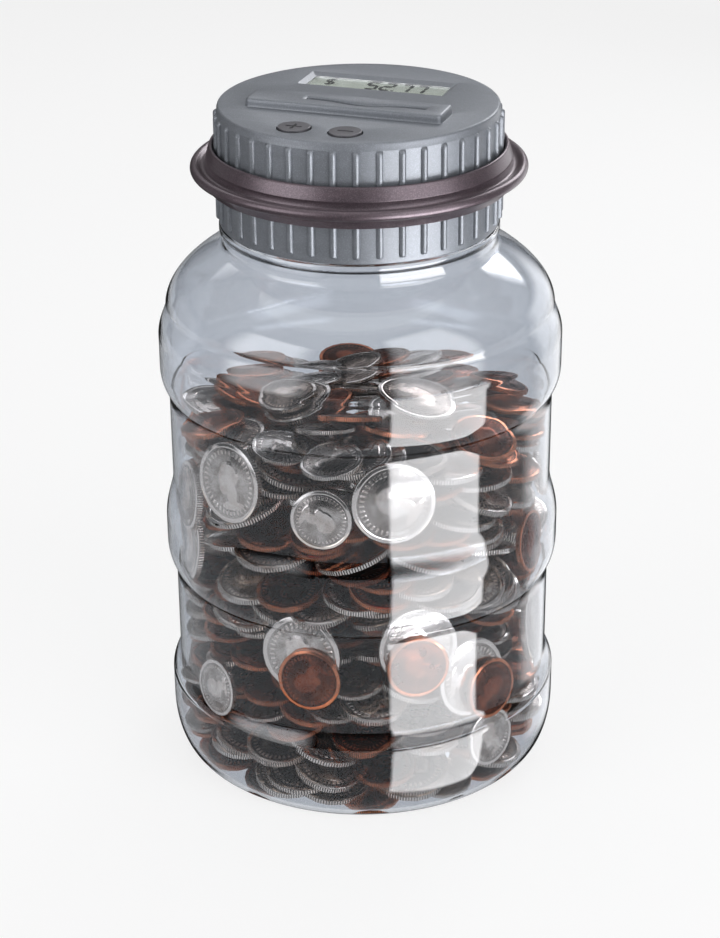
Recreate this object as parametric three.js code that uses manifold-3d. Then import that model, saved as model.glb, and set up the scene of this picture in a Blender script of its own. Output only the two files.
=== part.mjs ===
// A round coin-counting jar: a clear threaded jar with three hoops, and a screw-on lid that holds
// the coin slot, the coin-sizing lever, the display, two buttons and the battery box.
// Millimetres, +Z up. The origin is the middle of the surface that the jar stands on.
import * as THREE from 'three';
import { mergeGeometries, mergeVertices } from 'three/addons/utils/BufferGeometryUtils.js';
import Module from 'manifold-3d';

const wasm = await Module();
wasm.setup();

// ---- Driving dimensions -------------------------------------------------------------------------

const GAP = 0.3; // clearance between pieces that touch

// jar
const JAR_SEGMENTS = 32;
const JAR_WALL = 1.2;
const WALL_RADIUS = 57.5; // straight wall between the hoops
const HOOP_RADIUS = 60; // widest point of each hoop
const FOOT_RADIUS = 54; // outer edge of the flat ring that the jar stands on
const FOOT_INNER_RADIUS = 49;
const PUSH_UP = 4.5; // height of the dished middle of the base
const LOW_HOOP = { crest: 19, top: 31 };
const UPPER_HOOPS = [
  { bottom: 62, crest: 74, top: 89 },
  { bottom: 119.5, crest: 131, top: 144 },
];
const SHOULDER_END = { radius: 40.8, height: 163.8 };
const NECK_FOOT = 40.3; // plain wall between the shoulder and the bead
const BEAD = { radius: 41.2, bottom: 168.3, top: 170.4 };
const NECK_RADIUS = 37;
const NECK_BORE = 35.7;
const RIM_HEIGHT = 186.3;

// screw thread, shared by jar and lid
const THREAD_STARTS = 4;
const THREAD_LEAD = 16; // rise of the lid in one turn
const THREAD_ROOT_WIDTH = 1.6;
const THREAD_CREST_WIDTH = 0.9;
const JAR_THREAD = { crest: 38.6, height: 176.6, sweep: 80 };
const LID_THREAD = { crest: 37.7, sweep: 60 };

// lid
const LID_SEGMENTS = 40;
const SKIRT_BOTTOM = 170.7;
const SKIRT_RADIUS = 40.8;
const LID_BORE = 39.3;
const DECK_TOP = 205.5;
const DECK_THICKNESS = 2;
const DECK_EDGE = 1; // rounding of the deck's rim
const RIB_COUNT = 40;
const RIB = { reach: 41.8, width: 2, bottom: 172.4, top: 203.6 };
const BOSS = { radius: 3, hole: 1.45, bottom: 189.8 };

// raised coin block, slot, display recess and buttons on the deck
const BLOCK = { x: [-29.2, 29.2], y: [-15, -3], height: 2.5 };
const SLOT = { x: [-12.4, 23.2], y: -9, width: 2.6 };
const RECESS = { x: [-23.2, 21.7], y: [12.1, 26], slope: 1.5, floor: 204.5 };
const BUTTON = { radius: 4.6, hole: 4.9, foot: 5.5, proud: 0.45, x: 7.5, y: -30 };
const BUTTON_OFFSET = -1; // the pair sits this far to the left of the middle

// bumper ring
const RING_BORE = 42.2;
const RING_TOP = 193.8;
const RING_BOTTOM = 182;
const RING_REACH = 48.8;

// works inside the lid
const COVER = { radius: 38.8, bottom: 187.9, top: 189.4 };
const BOX = { x: 25.6, y: [-0.3, 23.9], bottom: 173, wall: 1.2 };
const CELL = { radius: 5.25, length: 44.5, y: [6.4, 17.2], z: 180.7 };
const BOARD = { x: 23, y: [4, 27], bottom: 195.2, thickness: 1.6 };
// half widths: a pad that fills the recess, on a flange that the deck's lip holds down
const WINDOW = { x: 20.65, y: 5.15, flangeX: 22, flangeY: 6.6, bottom: 203.5, shelf: 203.8 };
const PANEL = { x: 22.3, y: 7.2, bottom: 201.5, top: 203.2 };
const FRAME = { x: 24.4, y: 8.8, wall: 1.5, wallY: 0.9 };
const KEYPAD = { x: [-13.5, 11.5], y: [-34.6, -25.2], bottom: 197.9, top: 198.7, dome: 199.7 };
const BUTTON_BOARD = { x: [-14, 12], y: [-35, -24.8], z: [196, 197.6] };
const SEAL = { inner: 35.6, outer: 38.2, bottom: 186.6, top: 187.6 };
const SCREW = { length: 8, radius: 1, head: 2.5, headHeight: 1.6 };
const CHUTE = { x: [-20, 26], y: [-12.2, -5.8], wall: 1.4, bottom: 171.5 };
const PIVOT = { x: -15.5, z: 197, radius: 1 };
const LEVER = { thickness: 1.8, length: 21, restAngle: 22 };
const SCREW_PLACES = [
  [29.9, 10.9],
  [-29.9, 10.9],
  [0, 31.8],
  [18.2, -26],
  [-18.2, -26],
];

const DECK_UNDER = DECK_TOP - DECK_THICKNESS;
const BOARD_TOP = BOARD.bottom + BOARD.thickness;
const BUTTON_TOP = DECK_TOP + BUTTON.proud;
const DISPLAY_X = (RECESS.x[0] + RECESS.x[1]) / 2;
const DISPLAY_Y = (RECESS.y[0] + RECESS.y[1]) / 2;

// ---- Materials ----------------------------------------------------------------------------------

const clearPlastic = () => finish('#c9ced8', 0.05, 0, 0.3);
const silverPaint = () => finish('#8f9499', 0.38, 0.6);
const bronzePaint = () => finish('#6f6269', 0.36, 0.7);
const blackPlastic = () => finish('#2b2c2e', 0.5, 0);
const whitePlastic = () => finish('#d9d9d6', 0.5, 0);
const greyRubber = () => finish('#55585b', 0.8, 0);
const steel = () => finish('#b9bcc0', 0.3, 1);
const coinMetal = () => finish('#9c8f86', 0.35, 0.9);

function finish(colour, roughness, metalness, opacity = 1) {
  const settings = { color: colour, roughness, metalness };
  if (opacity < 1) {
    settings.transparent = true;
    settings.opacity = opacity;
  }
  return new THREE.MeshStandardMaterial(settings);
}

// ---- Solids -------------------------------------------------------------------------------------

// A closed mesh as a solid: seams welded, flat triangles dropped, faces turned outwards.
function solid(geometry) {
  const bare = geometry.clone();
  bare.deleteAttribute('normal');
  bare.deleteAttribute('uv');
  const welded = mergeVertices(bare, 1e-4);
  const points = welded.attributes.position.array;
  const corners = welded.index.array;
  const kept = [];
  let volume = 0;
  for (let i = 0; i < corners.length; i += 3) {
    const [a, b, c] = corners.slice(i, i + 3);
    if (a === b || b === c || c === a) continue;
    kept.push([a, b, c]);
    const [p, q, r] = [a, b, c].map((n) => new THREE.Vector3().fromArray(points, n * 3));
    volume += p.dot(q.cross(r));
  }
  const ordered = volume < 0 ? kept.map(([a, b, c]) => [a, c, b]) : kept;
  return new wasm.Manifold(new wasm.Mesh({
    numProp: 3,
    vertProperties: new Float32Array(points),
    triVerts: new Uint32Array(ordered.flat()),
  }));
}

// A solid's surface as a geometry.
function surface(body) {
  const mesh = body.getMesh();
  const geometry = new THREE.BufferGeometry();
  geometry.setAttribute('position', new THREE.BufferAttribute(new Float32Array(mesh.vertProperties), 3));
  geometry.setIndex(new THREE.BufferAttribute(new Uint32Array(mesh.triVerts), 1));
  geometry.computeVertexNormals();
  return geometry;
}

// A profile of [radius, height] points turned about the Z axis.
function turned(profile, segments) {
  const points = profile.map(([radius, height]) => new THREE.Vector2(radius, height));
  return solid(new THREE.LatheGeometry(points, segments).rotateX(Math.PI / 2));
}

// A closed ring profile turned about the Z axis.
function turnedRing(profile, segments) {
  return turned([...profile, profile[0]], segments);
}

// A box between two corners.
function block(x, y, z) {
  const box = new THREE.BoxGeometry(x[1] - x[0], y[1] - y[0], z[1] - z[0]);
  return solid(box.translate((x[0] + x[1]) / 2, (y[0] + y[1]) / 2, (z[0] + z[1]) / 2));
}

// An upright round bar.
function bar(x, y, z, radius, segments = 16) {
  const cylinder = new THREE.CylinderGeometry(radius, radius, z[1] - z[0], segments).rotateX(Math.PI / 2);
  return solid(cylinder.translate(x, y, (z[0] + z[1]) / 2));
}

// A round bar along Y.
function crossBar(x, y, z, radius, segments = 12) {
  const cylinder = new THREE.CylinderGeometry(radius, radius, y[1] - y[0], segments);
  return solid(cylinder.translate(x, (y[0] + y[1]) / 2, z));
}

// A box whose top is larger than its bottom by `slope` on each side.
function funnel(x, y, z, slope) {
  const box = new THREE.BoxGeometry(x[1] - x[0], y[1] - y[0], z[1] - z[0]);
  const points = box.attributes.position;
  for (let i = 0; i < points.count; i += 1) {
    if (points.getZ(i) > 0) {
      points.setX(i, points.getX(i) + Math.sign(points.getX(i)) * slope);
      points.setY(i, points.getY(i) + Math.sign(points.getY(i)) * slope);
    }
  }
  return solid(box.translate((x[0] + x[1]) / 2, (y[0] + y[1]) / 2, (z[0] + z[1]) / 2));
}

function union(bodies) {
  return bodies.reduce((whole, body) => whole.add(body));
}

function cut(body, tools) {
  return tools.reduce((rest, tool) => rest.subtract(tool), body);
}

// Points on a quarter of an ellipse that widens as it rises, from its lowest to its highest point.
function quarterOut(radius, crest, bottom, top, steps) {
  const points = [];
  for (let i = 0; i <= steps; i += 1) {
    const angle = (i / steps) * (Math.PI / 2);
    points.push([radius + (crest - radius) * Math.sin(angle), top - (top - bottom) * Math.cos(angle)]);
  }
  return points;
}

// The same quarter turned over, so that it narrows as it rises.
function quarterIn(radius, crest, bottom, top, steps) {
  return quarterOut(radius, crest, bottom, top, steps)
    .reverse()
    .map(([r, z]) => [r, bottom + top - z]);
}

// A ridge of tapered section that climbs round the Z axis on the shared lead.
function threadRidge(root, crest, startAngle, sweep, startHeight) {
  const steps = Math.ceil(sweep / 10);
  const positions = [];
  const faces = [];
  for (let i = 0; i <= steps; i += 1) {
    const turn = (i / steps) * sweep;
    const angle = THREE.MathUtils.degToRad(startAngle + turn);
    const middle = startHeight + (THREAD_LEAD * turn) / 360;
    const reach = i === 0 || i === steps ? (root + crest) / 2 : crest;
    const section = [
      [root, middle - THREAD_ROOT_WIDTH / 2],
      [reach, middle - THREAD_CREST_WIDTH / 2],
      [reach, middle + THREAD_CREST_WIDTH / 2],
      [root, middle + THREAD_ROOT_WIDTH / 2],
    ];
    for (const [radius, height] of section) {
      positions.push(radius * Math.cos(angle), radius * Math.sin(angle), height);
    }
  }
  for (let i = 0; i < steps; i += 1) {
    for (let side = 0; side < 4; side += 1) {
      const a = i * 4 + side;
      const b = i * 4 + ((side + 1) % 4);
      faces.push(a, b, b + 4, a, b + 4, a + 4);
    }
  }
  const last = steps * 4;
  faces.push(0, 2, 1, 0, 3, 2, last, last + 1, last + 2, last, last + 2, last + 3);
  const geometry = new THREE.BufferGeometry();
  geometry.setAttribute('position', new THREE.Float32BufferAttribute(positions, 3));
  geometry.setIndex(faces);
  return solid(geometry);
}

// A helix for springs: `turns` turns of one radius, along +Z from the origin.
class Helix extends THREE.Curve {
  constructor(radius, length, turns) {
    super();
    this.radius = radius;
    this.length = length;
    this.turns = turns;
  }

  getPoint(t, target = new THREE.Vector3()) {
    const angle = t * this.turns * 2 * Math.PI;
    return target.set(this.radius * Math.cos(angle), this.radius * Math.sin(angle), t * this.length);
  }
}

function coil(radius, length, turns, wire) {
  const outline = new THREE.Shape();
  outline.absarc(0, 0, wire, 0, 2 * Math.PI, false);
  const path = new Helix(radius, length, turns);
  const settings = { steps: turns * 10, curveSegments: 5, extrudePath: path, bevelEnabled: false };
  return solid(new THREE.ExtrudeGeometry(outline, settings));
}

function named(name, body, material) {
  const mesh = new THREE.Mesh(surface(body), material);
  mesh.name = name;
  return mesh;
}

// ---- Jar ----------------------------------------------------------------------------------------

function hoopProfile(wall, crest, hoop, steps) {
  return [
    ...quarterOut(wall, crest, hoop.bottom, hoop.crest, steps),
    ...quarterIn(wall, crest, hoop.crest, hoop.top, steps).slice(1),
  ];
}

function shoulderProfile(wall, end, steps) {
  const start = UPPER_HOOPS[1].top;
  const curve = new THREE.CubicBezierCurve(
    new THREE.Vector2(wall, start),
    new THREE.Vector2(wall, start + 9),
    new THREE.Vector2(wall - 5.3, end.height - 4.2),
    new THREE.Vector2(end.radius, end.height),
  );
  return curve.getPoints(steps).slice(1).map((point) => [point.x, point.y]);
}

function outerProfile() {
  return [
    [0, PUSH_UP],
    [30, PUSH_UP - 1.3],
    [44, 1],
    [FOOT_INNER_RADIUS, 0],
    ...quarterOut(FOOT_RADIUS, HOOP_RADIUS, 0, LOW_HOOP.crest, 5),
    ...quarterIn(WALL_RADIUS, HOOP_RADIUS, LOW_HOOP.crest, LOW_HOOP.top, 2).slice(1),
    ...UPPER_HOOPS.flatMap((hoop) => hoopProfile(WALL_RADIUS, HOOP_RADIUS, hoop, 3)),
    ...shoulderProfile(WALL_RADIUS, SHOULDER_END, 6),
    [NECK_FOOT, BEAD.bottom - 0.4],
    [BEAD.radius, BEAD.bottom],
    [BEAD.radius, BEAD.top],
    [NECK_RADIUS, BEAD.top],
    [NECK_RADIUS, RIM_HEIGHT],
  ];
}

function innerProfile() {
  const wall = WALL_RADIUS - JAR_WALL;
  const crest = HOOP_RADIUS - JAR_WALL;
  const end = { radius: SHOULDER_END.radius - 0.7, height: SHOULDER_END.height - 0.8 };
  return [
    [0, PUSH_UP + JAR_WALL],
    [30, PUSH_UP - 1.3 + JAR_WALL],
    [44, 1 + JAR_WALL],
    ...quarterOut(FOOT_RADIUS - 0.6, crest, JAR_WALL, LOW_HOOP.crest, 4),
    ...quarterIn(wall, crest, LOW_HOOP.crest, LOW_HOOP.top, 2).slice(1),
    ...UPPER_HOOPS.flatMap((hoop) => hoopProfile(wall, crest, hoop, 2)),
    ...shoulderProfile(wall, end, 6),
    [NECK_BORE, BEAD.bottom],
    [NECK_BORE, RIM_HEIGHT],
  ];
}

function jarBody() {
  const shell = turned([...outerProfile(), ...innerProfile().reverse()], JAR_SEGMENTS);
  const ridges = [];
  for (let start = 0; start < THREAD_STARTS; start += 1) {
    const angle = (start * 360) / THREAD_STARTS;
    ridges.push(threadRidge(NECK_RADIUS - 0.5, JAR_THREAD.crest, angle, JAR_THREAD.sweep, JAR_THREAD.height));
  }
  return union([shell, ...ridges]);
}

// The coins in the jar, as one loose pile with a mound on top.
function coinPile() {
  const reach = WALL_RADIUS - JAR_WALL - 0.6;
  return turned([
    [0, PUSH_UP + JAR_WALL + 0.5],
    [30, PUSH_UP - 1.3 + JAR_WALL + 0.5],
    [44, 2.7],
    [49, 1.8],
    [53, 1.8],
    [reach, 8],
    [reach, 117],
    [52, 120],
    [36, 124],
    [20, 128],
    [0, 130],
  ], JAR_SEGMENTS);
}

// ---- Lid shell ----------------------------------------------------------------------------------

function lidCap() {
  const shell = turned([
    [0, DECK_TOP],
    [SKIRT_RADIUS - 0.5 - DECK_EDGE, DECK_TOP],
    [SKIRT_RADIUS - 0.5 - 0.3 * DECK_EDGE, DECK_TOP - 0.3 * DECK_EDGE],
    [SKIRT_RADIUS - 0.5, DECK_TOP - DECK_EDGE],
    [SKIRT_RADIUS, RIB.top - 1],
    [SKIRT_RADIUS, SKIRT_BOTTOM],
    [LID_BORE, SKIRT_BOTTOM],
    [LID_BORE, DECK_UNDER],
    [0, DECK_UNDER],
  ], LID_SEGMENTS);
  const raised = block(BLOCK.x, BLOCK.y, [DECK_TOP - 1, DECK_TOP + BLOCK.height]);
  const bosses = SCREW_PLACES.map(([x, y]) => bar(x, y, [BOSS.bottom, DECK_UNDER + 1], BOSS.radius, 12));
  const whole = union([shell, raised, ...lidRibs(), ...lidThread(), ...bosses]);
  const slotY = [SLOT.y - SLOT.width / 2, SLOT.y + SLOT.width / 2];
  const buttonHoles = [-BUTTON.x, BUTTON.x].map((x) => (
    bar(x + BUTTON_OFFSET, BUTTON.y, [DECK_UNDER - 1, DECK_TOP + 1], BUTTON.hole, 24)
  ));
  const bossHoles = SCREW_PLACES.map(([x, y]) => bar(x, y, [BOSS.bottom - 1, BOSS.bottom + 9], BOSS.hole, 10));
  return cut(whole, [
    block(SLOT.x, slotY, [DECK_UNDER - 1, DECK_TOP + BLOCK.height + 1]),
    displayRecess(),
    ...buttonHoles,
    ...bossHoles,
  ]);
}

// Sloping sides down to the window, an opening for its pad and, from below, a rebate for its flange.
function displayRecess() {
  const x = [RECESS.x[0] + RECESS.slope, RECESS.x[1] - RECESS.slope];
  const y = [RECESS.y[0] + RECESS.slope, RECESS.y[1] - RECESS.slope];
  const sides = funnel(x, y, [RECESS.floor, DECK_TOP + 0.1], RECESS.slope);
  const opening = block(x, y, [DECK_UNDER - 0.1, RECESS.floor + 0.1]);
  const rebate = underDisplay(
    WINDOW.flangeX + GAP,
    WINDOW.flangeY + GAP,
    [DECK_UNDER - 0.1, WINDOW.shelf + GAP],
  );
  return union([sides, opening, rebate]);
}

function lidRibs() {
  const ribs = [];
  const inside = SKIRT_RADIUS - 0.9;
  for (let i = 0; i < RIB_COUNT; i += 1) {
    const rib = new THREE.CapsuleGeometry(RIB.width / 2, RIB.top - RIB.bottom - RIB.width, 2, 6);
    rib.rotateX(Math.PI / 2);
    rib.translate(0, 0, (RIB.top + RIB.bottom) / 2);
    const place = RIB.reach - RIB.width / 2;
    const angle = (i * 2 * Math.PI) / RIB_COUNT;
    rib.rotateZ(angle).translate(place * Math.cos(angle), place * Math.sin(angle), 0);
    ribs.push(solid(rib).subtract(innerKeep(inside)));
  }
  return ribs;
}

function innerKeep(radius) {
  return turned([[0, SKIRT_BOTTOM - 1], [radius, SKIRT_BOTTOM - 1], [radius, DECK_TOP], [0, DECK_TOP]], LID_SEGMENTS);
}

function lidThread() {
  const ridges = [];
  const height = JAR_THREAD.height - THREAD_LEAD / THREAD_STARTS / 2;
  const offset = 10; // the lid's ridges sit within the reach of the jar's
  for (let start = 0; start < THREAD_STARTS; start += 1) {
    const angle = (start * 360) / THREAD_STARTS + offset;
    const startHeight = height + (THREAD_LEAD * offset) / 360;
    ridges.push(threadRidge(LID_BORE + 0.6, LID_THREAD.crest, angle, LID_THREAD.sweep, startHeight));
  }
  return ridges;
}

function bumperRing() {
  return turnedRing([
    [RING_BORE, RING_BOTTOM],
    [43.4, RING_BOTTOM],
    [44, 184.9],
    [RING_REACH - 1.6, 185.8],
    [RING_REACH - 0.3, 186.5],
    [RING_REACH, 187.4],
    [RING_REACH - 0.6, 188.4],
    [RING_REACH - 1.9, 188.4],
    [45.2, 187.7],
    [44.1, 188.2],
    [44.3, 190],
    [43.1, RING_TOP],
    [RING_BORE, RING_TOP],
  ], LID_SEGMENTS);
}

// ---- Display and buttons ------------------------------------------------------------------------

// A box centred under the display recess, given its half widths.
function underDisplay(halfX, halfY, z) {
  return block([DISPLAY_X - halfX, DISPLAY_X + halfX], [DISPLAY_Y - halfY, DISPLAY_Y + halfY], z);
}

function displayWindow() {
  const flange = underDisplay(WINDOW.flangeX, WINDOW.flangeY, [WINDOW.bottom, WINDOW.shelf]);
  return flange.add(underDisplay(WINDOW.x, WINDOW.y, [WINDOW.bottom, RECESS.floor]));
}

function displayPanel() {
  return underDisplay(PANEL.x, PANEL.y, [PANEL.bottom, PANEL.top]);
}

function displayFrame() {
  const z = [BOARD_TOP + GAP, DECK_UNDER - GAP];
  const hollow = underDisplay(FRAME.x - FRAME.wall, FRAME.y - FRAME.wallY, [z[0] - 1, z[1] + 1]);
  return underDisplay(FRAME.x, FRAME.y, z).subtract(hollow);
}

// The rubber strip that joins the panel's lower edge to the board.
function contactStrip() {
  const z = [BOARD_TOP + GAP, PANEL.bottom - GAP];
  return block([DISPLAY_X - 20, DISPLAY_X + 20], [DISPLAY_Y - 7, DISPLAY_Y - 5], z);
}

function mainBoard() {
  return block([-BOARD.x, BOARD.x], BOARD.y, [BOARD.bottom, BOARD_TOP]);
}

function chipDome() {
  const z = BOARD.bottom - GAP;
  return turned([[0, z], [4.5, z], [4.1, z - 0.7], [2.6, z - 1.2], [0, z - 1.4]], 16).translate([2, 15, 0]);
}

// A round cap with a wider foot that the deck holds in.
function buttonCap(symbolCuts) {
  const cap = turned([
    [0, 200.9],
    [BUTTON.foot, 200.9],
    [BUTTON.foot, 201.9],
    [BUTTON.radius, 201.9],
    [BUTTON.radius, BUTTON_TOP - 0.3],
    [BUTTON.radius - 0.3, BUTTON_TOP],
    [0, BUTTON_TOP],
  ], 24);
  return cut(cap, symbolCuts);
}

function symbolBar(alongX) {
  const long = [-1.9, 1.9];
  const short = [-0.35, 0.35];
  return block(alongX ? long : short, alongX ? short : long, [BUTTON_TOP - 0.35, BUTTON_TOP + 1]);
}

// A rubber sheet with a dome under each button.
function rubberKeypad() {
  const sheet = block(KEYPAD.x, KEYPAD.y, [KEYPAD.bottom, KEYPAD.top]);
  const root = KEYPAD.top - 0.4;
  const domes = [-BUTTON.x, BUTTON.x].map((x) => (
    turned([[0, root], [3.6, root], [2.4, KEYPAD.dome], [0, KEYPAD.dome]], 16)
      .translate([x + BUTTON_OFFSET, BUTTON.y, 0])
  ));
  return union([sheet, ...domes]);
}

function buttonBoard() {
  return block(BUTTON_BOARD.x, BUTTON_BOARD.y, BUTTON_BOARD.z);
}

// ---- Coin path ----------------------------------------------------------------------------------

function chuteBack() {
  const plate = block(CHUTE.x, [CHUTE.y[1] - CHUTE.wall, CHUTE.y[1]], [CHUTE.bottom, DECK_UNDER - GAP]);
  return cut(plate, [pivotHole()]);
}

// The front half carries both edge walls and the ramp that leads each coin to the right-hand wall.
function chuteFront() {
  const z = [CHUTE.bottom, DECK_UNDER - GAP];
  const gapY = [CHUTE.y[0] + CHUTE.wall - 0.4, CHUTE.y[1] - CHUTE.wall - GAP];
  const plate = block(CHUTE.x, [CHUTE.y[0], CHUTE.y[0] + CHUTE.wall], z);
  const leftEdge = block([CHUTE.x[0], CHUTE.x[0] + 2], gapY, z);
  const rightEdge = block([CHUTE.x[1] - 2, CHUTE.x[1]], gapY, z);
  const feet = [[-19, -15], [20, 24]].map((x) => (
    block(x, [CHUTE.y[0] - 3, CHUTE.y[0] + 0.4], [COVER.top + GAP, COVER.top + 1.8])
  ));
  const ramp = new THREE.Shape([
    new THREE.Vector2(CHUTE.x[0] + 1, DECK_UNDER - GAP),
    new THREE.Vector2(SLOT.x[0] - 0.4, DECK_UNDER - GAP),
    new THREE.Vector2(SLOT.x[0] - 3, DECK_UNDER - 2.2),
    new THREE.Vector2(CHUTE.x[0] + 1, DECK_UNDER - 2.2),
  ]);
  const depth = gapY[1] - gapY[0];
  const wedge = solid(new THREE.ExtrudeGeometry(ramp, { depth, bevelEnabled: false })
    .rotateX(Math.PI / 2)
    .translate(0, gapY[1], 0));
  return cut(union([plate, leftEdge, rightEdge, wedge, ...feet]), [pivotHole()]);
}

function pivotHole() {
  return crossBar(PIVOT.x, [CHUTE.y[0] - 1, CHUTE.y[1] + 1], PIVOT.z, PIVOT.radius + GAP);
}

function pivotPin() {
  return crossBar(PIVOT.x, [CHUTE.y[0] - 0.6, CHUTE.y[1] + 3.4], PIVOT.z, PIVOT.radius);
}

// The arm that each coin's edge pushes aside, further for a larger coin.
function coinLever() {
  const y = [SLOT.y - LEVER.thickness / 2, SLOT.y + LEVER.thickness / 2];
  const eye = crossBar(0, y, 0, 2.3, 16);
  const arm = block([0, LEVER.length - 1.6], y, [-1.1, 1.1]);
  const tip = crossBar(LEVER.length - 1.6, y, 0, 1.6, 12);
  const hole = crossBar(0, [y[0] - 1, y[1] + 1], 0, PIVOT.radius + GAP);
  const lever = union([eye, arm, tip]).subtract(hole);
  return lever.rotate([0, LEVER.restAngle, 0]).translate([PIVOT.x, 0, PIVOT.z]);
}

function leverSpring() {
  return coil(1.7, 2, 3, 0.22).rotate([-90, 0, 0]).translate([PIVOT.x, CHUTE.y[1] + 0.6, PIVOT.z]);
}

// Two thin leaf strips in a small block beside the chute.
function leafContacts() {
  const holder = block([-24.6, -20.4], [-12.4, -7.6], [COVER.top + GAP, COVER.top + 3]);
  const strips = [-24, -22].map((x) => block([x, x + 0.5], [-11, -9], [COVER.top + 2, 200]));
  return union([holder, ...strips]);
}

// ---- Cover, battery box and batteries -----------------------------------------------------------

function innerCover() {
  const disc = bar(0, 0, [COVER.bottom, COVER.top], COVER.radius, LID_SEGMENTS);
  const shell = block([-BOX.x, BOX.x], BOX.y, [BOX.bottom, COVER.bottom + 0.5]);
  const hollow = block(
    [-BOX.x + BOX.wall, BOX.x - BOX.wall],
    [BOX.y[0] + BOX.wall, BOX.y[1] - BOX.wall],
    [BOX.bottom - 1, COVER.bottom],
  );
  const chuteWay = block(
    [CHUTE.x[0] - GAP, CHUTE.x[1] + GAP],
    [CHUTE.y[0] - GAP, CHUTE.y[1] + GAP],
    [COVER.bottom - 1, COVER.top + 1],
  );
  const screwWays = SCREW_PLACES.map(([x, y]) => bar(x, y, [COVER.bottom - 1, COVER.top + 1], BOSS.hole, 10));
  return cut(union([disc, shell]), [hollow, chuteWay, ...screwWays]);
}

// A flat door inside the end of the box walls, with a thumb rib across it.
function batteryDoor() {
  const inset = BOX.wall + GAP;
  const x = [-BOX.x + inset, BOX.x - inset];
  const y = [BOX.y[0] + inset, BOX.y[1] - inset];
  const plate = block(x, y, [BOX.bottom, BOX.bottom + 1.5]);
  const middle = (y[0] + y[1]) / 2;
  const rib = block([-6, 6], [middle - 0.6, middle + 0.6], [BOX.bottom - 1.2, BOX.bottom + 0.5]);
  return plate.add(rib);
}

// One battery lying along X, its raised contact towards +X.
function battery() {
  const length = CELL.length;
  return turned([
    [0, 0],
    [CELL.radius, 0],
    [CELL.radius, length - 1],
    [1.9, length - 1],
    [1.9, length],
    [0, length],
  ], 20).translate([0, 0, -length / 2]).rotate([0, 90, 0]);
}

// The flat plate that a battery's raised end presses on.
function contactPlate() {
  return block([-0.2, 0.2], [-4, 4], [-4, 4]);
}

function contactSpring() {
  return coil(2.4, 1.5, 2, 0.25).rotate([0, 90, 0]);
}

// A pan-head screw, head down, its top end at the origin.
function coverScrew() {
  const under = -SCREW.length;
  return turned([
    [0, 0],
    [SCREW.radius, 0],
    [SCREW.radius, under],
    [SCREW.head, under],
    [SCREW.head, under - 1],
    [SCREW.head - 0.8, under - SCREW.headHeight],
    [0, under - SCREW.headHeight],
  ], 12);
}

// ---- Assembly -----------------------------------------------------------------------------------

const coinCountingJar = new THREE.Group();

const jar = new THREE.Group();
jar.add(named('jar_body', jarBody(), clearPlastic()));
jar.add(named('coin_pile', coinPile(), coinMetal()));
coinCountingJar.add(jar);

const seal = turnedRing([
  [SEAL.inner, SEAL.bottom],
  [SEAL.outer, SEAL.bottom],
  [SEAL.outer, SEAL.top],
  [SEAL.inner, SEAL.top],
], JAR_SEGMENTS);
coinCountingJar.add(named('mouth_seal', seal, whitePlastic()));

const lid = new THREE.Group();
lid.add(named('lid_cap', lidCap(), silverPaint()));
lid.add(named('bumper_ring', bumperRing(), bronzePaint()));
lid.add(named('display_window', displayWindow(), clearPlastic()));
lid.add(named('display_panel', displayPanel(), finish('#b9c4ae', 0.2, 0)));
lid.add(named('display_frame', displayFrame(), blackPlastic()));
lid.add(named('display_contact_strip', contactStrip(), greyRubber()));
lid.add(named('main_board', mainBoard(), finish('#1f6b3c', 0.5, 0)));
lid.add(named('chip_dome', chipDome(), blackPlastic()));
lid.add(named('button_board', buttonBoard(), finish('#1f6b3c', 0.5, 0)));
lid.add(named('rubber_keypad', rubberKeypad(), greyRubber()));
lid.add(named('chute_front', chuteFront(), blackPlastic()));
lid.add(named('chute_back', chuteBack(), blackPlastic()));
lid.add(named('coin_lever', coinLever(), whitePlastic()));
lid.add(named('lever_pivot_pin', pivotPin(), steel()));
lid.add(named('lever_spring', leverSpring(), steel()));
lid.add(named('leaf_contacts', leafContacts(), finish('#c8a25a', 0.3, 1)));
lid.add(named('inner_cover', innerCover(), blackPlastic()));
lid.add(named('battery_door', batteryDoor(), blackPlastic()));

const symbols = { button_plus: [symbolBar(true), symbolBar(false)], button_minus: [symbolBar(true)] };
Object.entries(symbols).forEach(([name, cuts], index) => {
  const button = named(name, buttonCap(cuts), silverPaint());
  button.position.set((index === 0 ? -BUTTON.x : BUTTON.x) + BUTTON_OFFSET, BUTTON.y, 0);
  lid.add(button);
});

CELL.y.forEach((y, index) => {
  const way = index === 0 ? 1 : -1; // the two batteries lie head to tail
  const number = index + 1;
  const cell = named(`battery_${number}`, battery(), finish('#3c4148', 0.4, 0.3));
  cell.rotation.z = index === 0 ? 0 : Math.PI;
  cell.position.set(way * 0.8, y, CELL.z);
  const plate = named(`contact_plate_${number}`, contactPlate(), steel());
  plate.position.set(way * (BOX.x - BOX.wall - GAP - 0.2), y, CELL.z);
  const spring = named(`contact_spring_${number}`, contactSpring(), steel());
  spring.rotation.z = index === 0 ? 0 : Math.PI;
  spring.position.set(-way * (BOX.x - BOX.wall - 0.6), y, CELL.z);
  lid.add(cell, plate, spring);
});

SCREW_PLACES.forEach(([x, y], index) => {
  const screw = named(`cover_screw_${index + 1}`, coverScrew(), steel());
  screw.position.set(x, y, COVER.bottom - GAP + SCREW.length);
  lid.add(screw);
});
coinCountingJar.add(lid);

export default coinCountingJar;
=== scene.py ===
"""A coin-counting jar full of coins, with its screw-on lid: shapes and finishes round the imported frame."""
import math

import bmesh
import bpy
import numpy as np
from mathutils import Matrix, Vector
from mathutils.geometry import delaunay_2d_cdt


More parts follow.
